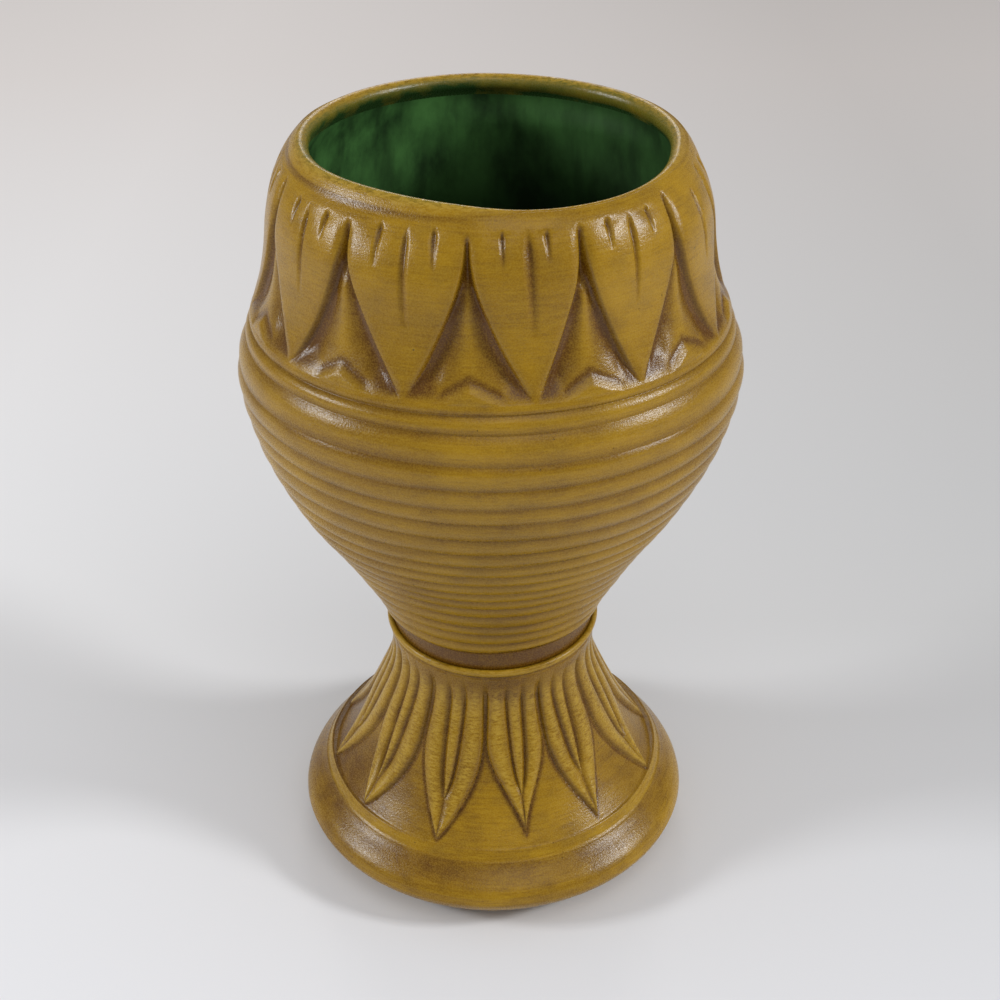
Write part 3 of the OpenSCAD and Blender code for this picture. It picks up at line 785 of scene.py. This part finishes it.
def make_foot():
    angle = around(FOOT_COLUMNS)
    rows = foot_rows()
    radius = spread(rows, 0, FOOT_COLUMNS)
    height = spread(rows, 1, FOOT_COLUMNS)
    # The thin ring stands out more, and the foot is darker, at the sides and the back than at the front;
    # the ground and the base are also darker on the left
    sided = ramp(18, 62, np.abs(angle))
    behind = ramp(60, 100, np.abs(angle))
    left = ramp(0.1, 0.9, -np.sin(np.radians(angle)))
    ring_sink = mix(mix(RING_SINK_FRONT, RING_SINK_SIDE, sided), -RING_RISE_BACK, behind)
    facing = np.clip(np.cos(np.radians(angle)), 0, 1)
    outside = np.array([row[2] in ("bead", "leaf", "base") for row in rows])
    seam = outside * bump(height[:, 0] - SEAM_Z, 3.2)
    window = 17
    for grid in (radius, height):
        smooth = np.convolve(grid[:, 0], np.ones(window) / window, "same")
        grid += (smooth - grid[:, 0])[:, None] * seam[:, None] * mix(0.97, 0.8, sided)[None, :]
    nr, nz = normals_of(radius, height)
    recess, edge = np.zeros((2,) + radius.shape)
    for i, (row_r, row_z, kind, share) in enumerate(rows):
        push = 0
        if kind == "leaf":
            push, recess[i], edge[i] = foot_leaf_row(angle, row_z, row_r)
            near_ring = ramp(SHELF_Z + 1.5, SHELF_Z + 0.2, row_z)
            push = mix(push, -ring_sink, near_ring) + FLARE_FULLER * bump(row_z - FLARE_FULLER_Z, 9)
            # Darker near the ring at the sides, and on the cone's ground at the sides and on the left
            recess[i] = np.maximum(recess[i], 0.12 * near_ring * sided)
            ground = (edge[i] < 0.02) * ramp(FOOT_OPEN_Z, CONE_DARK_Z, row_z)
            recess[i] = np.maximum(recess[i], (0.3 * sided + 0.35 * left) * ground)
            recess[i] = np.maximum(recess[i], (0.25 + 0.3 * facing ** 3) * ramp(*NECK_STAIN_RUN, row_z))
        elif kind == "base":
            push = -ring_sink * ramp(BASE_Z + 2, BASE_TOP_Z, row_z)
            # A band of stain on the base, and a darker band low on its left
            recess[i] = 0.47 * bump(row_z - BASE_STAIN_Z, 4.3) + 0.12 * left * bump(row_z - LEFT_DARK_Z, 6)
        elif kind == "bead":
            push = -ring_sink
            # Painted highlight and wear: the thin ring is lighter at the sides
            edge[i] = 0.4 * sided
        elif kind == "collar":
            crease = bump(row_z - COLLAR_CREASE_Z, 0.6)
            push = 0.25 * ramp(COLLAR_SWELL_Z, COLLAR_SWELL_Z + 1, row_z) - 0.5 * crease
            below = ramp(COLLAR_CREASE_Z + 0.2, COLLAR_CREASE_Z - 0.8, row_z)
            recess[i] = np.maximum(0.7 * crease, 0.5 * below)
            # Painted highlight and wear: the collar's swell is lighter
            edge[i] = 0.6 * ramp(COLLAR_SWELL_Z, COLLAR_SWELL_Z + 0.8, row_z)
        elif kind == "rim":
            push = 0.25 * ramp(110, 40, share)
            # Painted highlight and wear: the top of the rim is lighter
            edge[i] = 0.7 if share < 100 else 0
            recess[i] = 0.7 * ramp(100, 160, share)
        elif kind == "hid":
            recess[i] = 1.0
        # The collar sags a little at the front
        sag = RIM_SAG * facing * ramp(*SAG_RUN, row_z) * (kind != "hollow")
        radius[i] += push * nr[i]
        height[i] += push * nz[i] - sag
    weight = np.array([0.25 if row[2] in ("hid", "hollow") else 1.0 for row in rows])
    return new_piece("foot_body", radius, height, angle, {"recess": recess, "edge": edge}, weight)


# Materials


def add(tree, kind, inputs=None, **settings):
    node = tree.nodes.new("ShaderNode" + kind)
    for key, value in settings.items():
        setattr(node, key, value)
    for key, value in (inputs or {}).items():
        if isinstance(value, bpy.types.NodeSocket):
            tree.links.new(value, node.inputs[key])
        else:
            node.inputs[key].default_value = value
    return node


def blend_colour(tree, share, a, b):
    node = add(tree, "Mix", {0: share, 6: a, 7: b}, data_type="RGBA")
    return node.outputs[2]


def calc(tree, what, a, b, clamp=False):
    return add(tree, "Math", {0: a, 1: b}, operation=what, use_clamp=clamp).outputs[0]


def times(tree, a, b, clamp=False):
    return calc(tree, "MULTIPLY", a, b, clamp)


def remap(tree, value, low, high, out_low=0.0, out_high=1.0):
    ins = {"Value": value, "From Min": low, "From Max": high, "To Min": out_low, "To Max": out_high}
    return add(tree, "MapRange", ins).outputs[0]


def scaled(tree, scale):
    """Object coordinates in metres times a scale for each axis."""
    where = add(tree, "TexCoord").outputs["Object"]
    return add(tree, "Mapping", {"Vector": where, "Scale": scale}).outputs[0]


def noise(tree, scale, detail=3.0, rough=0.55, warp=0.0):
    where = scaled(tree, scale)
    ins = {"Vector": where, "Scale": 1.0, "Detail": detail, "Roughness": rough, "Distortion": warp}
    return add(tree, "TexNoise", ins).outputs["Fac"]


def colour(r, g, b):
    return (r, g, b, 1.0)


def new_material(name):
    material = bpy.data.materials.new(name)
    material.use_nodes = True
    tree = material.node_tree
    tree.nodes.clear()
    shader = add(tree, "BsdfPrincipled")
    out = add(tree, "OutputMaterial")
    tree.links.new(shader.outputs[0], out.inputs[0])
    return material, tree, shader


def set_surface(tree, shader, base, gloss, height, strength, distance):
    """Give a shader its colour, its gloss and a bump: gloss is a roughness and a specular level."""
    tree.links.new(base, shader.inputs["Base Color"])
    rough, level = gloss
    if isinstance(rough, bpy.types.NodeSocket):
        tree.links.new(rough, shader.inputs["Roughness"])
    else:
        shader.inputs["Roughness"].default_value = rough
    shader.inputs["Specular IOR Level"].default_value = level
    shader.inputs["IOR"].default_value = 1.5
    relief = add(tree, "Bump", {"Height": height, "Strength": strength, "Distance": distance})
    tree.links.new(relief.outputs[0], shader.inputs["Normal"])


OCHRE_DARK = colour(0.226, 0.112, 0.002)
OCHRE_LIGHT = colour(0.335, 0.179, 0.004)
OCHRE_STREAK = colour(0.418, 0.252, 0.012)
BROWN_STREAK = colour(0.12, 0.055, 0.004)
STAIN = colour(0.1, 0.038, 0.003)
GREY_PATCH = colour(0.17, 0.105, 0.03)
# The worn edge colour also stands for a painted highlight on raised edges
WORN_EDGE_AND_HIGHLIGHT = colour(0.42, 0.26, 0.03)
PIN_HOLE = colour(0.06, 0.028, 0.004)
OLIVE_WASH = colour(0.15, 0.125, 0.014)
GREEN_WASH = colour(0.02, 0.052, 0.012)
# The near-black green is a painted shade for the depths of the inside
GREEN_PAINTED_SHADE = colour(0.006, 0.009, 0.004)
GREEN_DARK = colour(0.022, 0.062, 0.017)
GREEN_BRIGHT = colour(0.09, 0.25, 0.062)
GREEN_RUN = colour(0.01, 0.022, 0.008)
GREEN_SPECK = colour(0.03, 0.06, 0.02)
SLIP_DARK = colour(0.06, 0.03, 0.008)
SLIP_PALE = colour(0.12, 0.065, 0.02)
# The floor's colours are painted light and shade: lit on the left and near the camera, shaded on the right
# and far back
FLOOR_LIT_LEFT = colour(0.757, 0.742, 0.738)
FLOOR_SHADED_RIGHT = colour(0.492, 0.484, 0.478)
FAR_LIT_LEFT = colour(0.74, 0.69, 0.66)
FAR_SHADED_RIGHT = colour(0.578, 0.536, 0.51)
FLOOR_LIT_NEAR = colour(0.855, 0.855, 0.895)
SKY = colour(0.97, 0.98, 1.0)


def stained_ochre(name, stain_share, streak_share):
    """Satin mustard glaze with a brown stain wiped into the recesses."""
    material, tree, shader = new_material(name)
    recess = add(tree, "Attribute", attribute_name="recess").outputs["Fac"]
    edge = add(tree, "Attribute", attribute_name="edge").outputs["Fac"]
    clouds = noise(tree, (26, 26, 26), detail=4)
    streaks = noise(tree, (110, 110, 2300), detail=3, rough=0.65)
    fine = noise(tree, (2500, 2500, 2500), detail=2, rough=0.7)
    pebbles = noise(tree, (2000, 2000, 2000), detail=2, rough=0.6)
    hatch = noise(tree, (560, 560, 2200), detail=2, rough=0.6, warp=0.6)
    patches = noise(tree, (90, 90, 140), detail=5, rough=0.65)
    base = blend_colour(tree, remap(tree, clouds, 0.35, 0.65), OCHRE_DARK, OCHRE_LIGHT)
    brushed = times(tree, remap(tree, streaks, 0.5, 0.68), streak_share)
    base = blend_colour(tree, brushed, base, OCHRE_STREAK)
    scored = times(tree, remap(tree, streaks, 0.46, 0.34), streak_share)
    base = blend_colour(tree, scored, base, BROWN_STREAK)
    grey = times(tree, remap(tree, patches, 0.5, 0.72), 0.25)
    base = blend_colour(tree, grey, base, GREY_PATCH)
    grain = times(tree, remap(tree, fine, 0.42, 0.6), 0.3)
    base = blend_colour(tree, grain, base, OCHRE_STREAK)
    smeared = times(tree, remap(tree, patches, 0.42, 0.66), stain_share)
    wiped = calc(tree, "ADD", recess, smeared)
    wiped = times(tree, wiped, remap(tree, fine, 0.35, 0.62, 1.25, 0.7), clamp=True)
    base = blend_colour(tree, wiped, base, STAIN)
    # The green of the inside thins out to olive over the lip
    wash = add(tree, "Attribute", attribute_name="wash").outputs["Fac"]
    mottled = times(tree, wash, remap(tree, patches, 0.35, 0.65, -0.4, 0.4))
    washed = calc(tree, "ADD", wash, mottled)
    base = blend_colour(tree, remap(tree, washed, 0, 0.4), base, OLIVE_WASH)
    base = blend_colour(tree, remap(tree, washed, 0.4, 1.0), base, GREEN_WASH)
    # Raised edges are painted lighter: partly worn, thin glaze and partly a painted highlight
    worn_and_highlit = times(tree, edge, remap(tree, hatch, 0.38, 0.6, 0.0, 0.9))
    base = blend_colour(tree, worn_and_highlit, base, WORN_EDGE_AND_HIGHLIGHT)
    # A few cells of the pattern hold a pin hole
    where = scaled(tree, (330, 330, 330))
    spots = add(tree, "TexVoronoi", {"Vector": where, "Scale": 1.0, "Randomness": 1.0})
    holes = remap(tree, spots.outputs["Distance"], 0.04, 0.09, 1.0, 0.0)
    cell = add(tree, "SeparateColor", {"Color": spots.outputs["Color"]}).outputs[0]
    holes = times(tree, holes, remap(tree, cell, 0.86, 0.88))
    base = blend_colour(tree, times(tree, holes, 0.7), base, PIN_HOLE)
    rough = remap(tree, fine, 0.35, 0.65, 0.21, 0.34)
    height = calc(tree, "ADD", times(tree, streaks, 0.1), times(tree, pebbles, 0.34))
    height = calc(tree, "SUBTRACT", height, times(tree, holes, 0.8))
    set_surface(tree, shader, base, (rough, 0.33), height, 0.6, 0.0004)
    return material


def green_glaze():
    """Glossy mottled dark green glaze, with painted shade deep down and on the right of the inside, and
    painted light near its top and on its left.
    """
    material, tree, shader = new_material("green_glaze")
    clouds = noise(tree, (55, 55, 30), detail=5, rough=0.6)
    runs = noise(tree, (160, 160, 12), detail=3)
    specks = noise(tree, (900, 900, 900), detail=2)
    # Painted light and shade: the inside fades to near black lower down, and is lighter on the left than on
    # the right
    where = add(tree, "SeparateXYZ", {"Vector": scaled(tree, (1, 1, 1))})
    high = remap(tree, where.outputs[2], 0.16, 0.222)
    high = times(tree, high, remap(tree, where.outputs[0], -0.035, 0.035, 1.0, 0.4))
    bright = blend_colour(tree, remap(tree, clouds, 0.38, 0.62), GREEN_DARK, GREEN_BRIGHT)
    base = blend_colour(tree, high, GREEN_PAINTED_SHADE, bright)
    base = blend_colour(tree, times(tree, remap(tree, runs, 0.5, 0.7), 0.5), base, GREEN_RUN)
    base = blend_colour(tree, times(tree, remap(tree, specks, 0.6, 0.75), 0.2), base, GREEN_SPECK)
    set_surface(tree, shader, base, (0.36, 0.5), clouds, 0.2, 0.001)
    return material


def clay_slip():
    """Fired slip, stained brown where the glaze ran into the joint."""
    material, tree, shader = new_material("clay_slip")
    grain = noise(tree, (1500, 1500, 1500), detail=2)
    base = blend_colour(tree, remap(tree, grain, 0.35, 0.65), SLIP_DARK, SLIP_PALE)
    set_surface(tree, shader, base, (0.55, 0.5), grain, 0.3, 0.0003)
    return material


def floor_material():
    """Plain pale paper with painted light and shade: lighter to the left and to the front, darker to the
    right and far back.
    """
    material, tree, shader = new_material("floor_paper_painted_light")
    where = add(tree, "SeparateXYZ", {"Vector": add(tree, "TexCoord").outputs["Object"]})
    # Painted light and shade by place on the floor: lighter to the left and near the camera, darker to the
    # right and far back
    share = remap(tree, where.outputs[0], -0.25, 0.3)
    base = blend_colour(tree, share, FLOOR_LIT_LEFT, FLOOR_SHADED_RIGHT)
    far_base = blend_colour(tree, share, FAR_LIT_LEFT, FAR_SHADED_RIGHT)
    base = blend_colour(tree, remap(tree, where.outputs[1], 0.2, 0.9), base, far_base)
    near = remap(tree, where.outputs[1], 0.1, -0.25)
    base = blend_colour(tree, times(tree, near, 0.75), base, FLOOR_LIT_NEAR)
    tree.links.new(base, shader.inputs["Base Color"])
    shader.inputs["Roughness"].default_value = 0.9
    shader.inputs["Specular IOR Level"].default_value = 0.2
    return material


def new_floor():
    size = 6.0
    mesh = bpy.data.meshes.new("floor")
    corners = [(-size, -size, 0), (size, -size, 0), (size, size, 0), (-size, size, 0)]
    mesh.from_pydata(corners, [], [(0, 1, 2, 3)])
    mesh.materials.append(floor_material())
    return placed("floor", mesh)


LAMP_TARGET = (0, 0, 0.13)


def new_lamp(name, azimuth, elevation, distance, size, power, tint=(1, 1, 1)):
    """A square soft box that faces the vase. Azimuth runs from the camera's side towards +X."""
    light = bpy.data.lights.new(name, "AREA")
    light.shape = "SQUARE"
    light.size = size
    light.energy = power
    light.color = tint
    lamp = placed(name, light)
    a = math.radians(azimuth)
    e = math.radians(elevation)
    target = Vector(LAMP_TARGET)
    way = Vector((math.sin(a) * math.cos(e), -math.cos(a) * math.cos(e), math.sin(e)))
    lamp.location = target + way * distance
    lamp.rotation_euler = way.to_track_quat("Z", "Y").to_euler()


# The camera that was fitted to the photograph: its place in metres, its angles in degrees, its lens in
# millimetres and the shift of its picture
CAMERA_AT = (0, -0.381, 0.3506)
CAMERA_DOWN = 31.46
CAMERA_ROLL = -0.35
CAMERA_LENS = 53.3
CAMERA_SHIFT = (0.0082, 0.0013)


def new_camera():
    data = bpy.data.cameras.new("camera")
    data.sensor_width = 36
    data.lens = CAMERA_LENS
    data.shift_x = CAMERA_SHIFT[0]
    data.shift_y = CAMERA_SHIFT[1]
    data.clip_start = 0.01
    camera = placed("camera", data)
    tilt = Matrix.Rotation(math.radians(90 - CAMERA_DOWN), 4, "X")
    roll = Matrix.Rotation(math.radians(CAMERA_ROLL), 4, "Z")
    camera.matrix_world = Matrix.Translation(CAMERA_AT) @ (tilt @ roll)
    bpy.context.scene.camera = camera


def new_world():
    """Soft light from all sides, dimmer in reflections and brighter where the camera sees it."""
    world = bpy.data.worlds.new("studio")
    world.use_nodes = True
    tree = world.node_tree
    back = tree.nodes["Background"]
    back.inputs[0].default_value = SKY
    rays = add(tree, "LightPath")
    strength = remap(tree, rays.outputs["Is Glossy Ray"], 0, 1, 0.46, 0.21)
    strength = calc(tree, "ADD", strength, times(tree, rays.outputs["Is Camera Ray"], 0.2))
    tree.links.new(strength, back.inputs[1])
    bpy.context.scene.world = world


bowl_body = make_bowl()
bowl_body.data.materials.append(stained_ochre("ochre_glaze", 0.15, 0.3))
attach(bowl_body, "root")
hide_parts("bowl")

foot_body = make_foot()
foot_body.data.materials.append(stained_ochre("foot_glaze", 0.3, 0.42))
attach(foot_body, "root")
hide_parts("pedestal_foot")

lining = make_lining()
lining.data.materials.append(green_glaze())
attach(lining, "root")
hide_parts("glaze_lining")

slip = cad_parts["slip_joint"]
slip.data.materials.clear()
slip.data.materials.append(clay_slip())

new_floor()
new_camera()
new_world()
new_lamp("right_box", azimuth=77.5, elevation=29, distance=2.2, size=0.36, power=26, tint=(0.95, 0.975, 1))
new_lamp("left_box", azimuth=-81, elevation=26, distance=2.2, size=0.44, power=23, tint=(0.93, 0.965, 1))
new_lamp("front_box", azimuth=20, elevation=58, distance=2.4, size=1.5, power=9.2)
new_lamp("back_box", azimuth=180, elevation=30, distance=2.4, size=0.6, power=5)

bpy.context.scene.view_settings.view_transform = "Standard"
